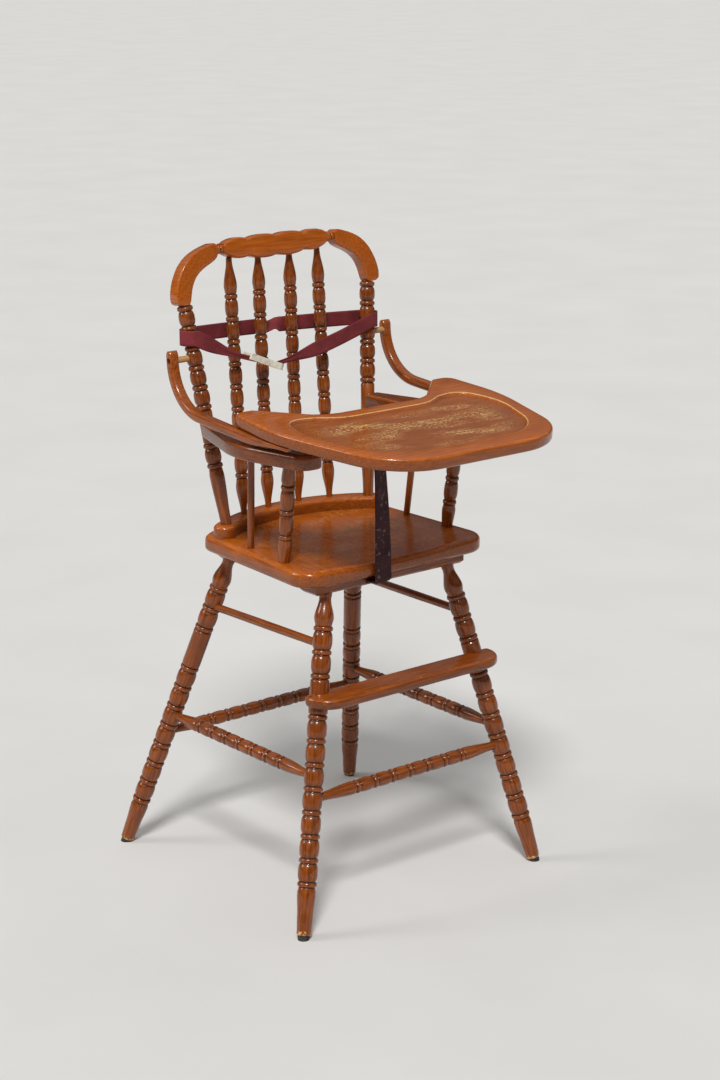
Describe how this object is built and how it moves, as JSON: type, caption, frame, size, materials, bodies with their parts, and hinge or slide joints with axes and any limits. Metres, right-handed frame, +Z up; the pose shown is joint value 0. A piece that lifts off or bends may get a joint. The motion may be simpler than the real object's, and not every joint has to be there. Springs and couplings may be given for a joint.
{
  "type": "baby high chair",
  "caption": "Bobbin-turned wooden high chair with a lift-over tray, footrest, spindle back, ribbon waist belt with a sprung clip, and a crotch strap",
  "frame": {"origin": "On the floor, at the middle of the bounding box in plan", "axes": "+Z up, -Y to the front that the sitter faces, +X to the sitter's left"},
  "size_m": [0.4918, 0.6252, 1.0006],
  "materials": {
    "turned_wood": "amber lacquered hardwood, dark in the grooves and worn pale on the ring edges",
    "board_wood": "amber lacquered boards with worn rims, scratches and a satin shine",
    "peg_wood": "bare light wood",
    "glide_rubber": "black, scuffed",
    "belt_ribbon": "maroon woven ribbon",
    "strap_webbing": "dark woven webbing with pale specks",
    "clip_plastic": "ivory, lightly soiled",
    "spring_steel": "dull steel wire",
    "screw_brass": "dull brass"
  },
  "bodies": {
    "chair": {"back_spindle_1": "turned_wood", "back_spindle_2": "turned_wood", "back_spindle_3": "turned_wood", "back_spindle_4": "turned_wood", "belt_back_run": "belt_ribbon", "belt_left_run": "belt_ribbon", "belt_right_run": "belt_ribbon", "clip_back_leg": "clip_plastic", "clip_spring": "spring_steel", "crest_rail": "turned_wood", "crotch_strap_end": "strap_webbing", "foot_glides": "glide_rubber", "footrest": "board_wood", "front_left_leg": "turned_wood", "front_right_leg": "turned_wood", "front_rung": "turned_wood", "front_seat_batten": "turned_wood", "left_arm": "turned_wood", "left_arm_dowel": "turned_wood", "left_arm_post": "turned_wood", "left_back_post": "turned_wood", "left_crest_corner": "turned_wood", "left_rung": "turned_wood", "left_upper_rail": "turned_wood", "rear_left_leg": "turned_wood", "rear_right_leg": "turned_wood", "rear_rung": "turned_wood", "rear_seat_batten": "turned_wood", "right_arm": "turned_wood", "right_arm_dowel": "turned_wood", "right_arm_post": "turned_wood", "right_back_post": "turned_wood", "right_crest_corner": "turned_wood", "right_rung": "turned_wood", "right_upper_rail": "turned_wood", "seat": "board_wood", "seat_back_riser": "turned_wood"},
    "tray": {"left_tray_arm": "board_wood", "pivot_pegs": "peg_wood", "pivot_screws": "screw_brass", "right_tray_arm": "board_wood", "tray_board": "board_wood"},
    "strap": {"crotch_strap": "strap_webbing"},
    "clip_lever": {"clip_front_leg": "clip_plastic"}
  },
  "joints": [
    {"name": "tray_lift", "type": "hinge", "parent": "chair", "child": "tray", "pos_m": [0, 0.1735, 0.825], "axis": [-1, 0, 0], "range_deg": [0, 250]},
    {"name": "strap_drop", "type": "hinge", "parent": "chair", "child": "strap", "pos_m": [-0.036, -0.1218, 0.5095], "axis": [1, 0, 0], "range_deg": [0, 150]},
    {"name": "clip_squeeze", "type": "hinge", "parent": "chair", "child": "clip_lever", "pos_m": [-0.042, 0.157, 0.804], "axis": [-0.3746, 0, -0.9272], "range_deg": [0, 5], "stiffness_Nm_per_rad": 0.5}
  ],
  "couplings": [
    {"joint": "strap_drop", "follows": "tray_lift", "ratio": 0.6}
  ]
}
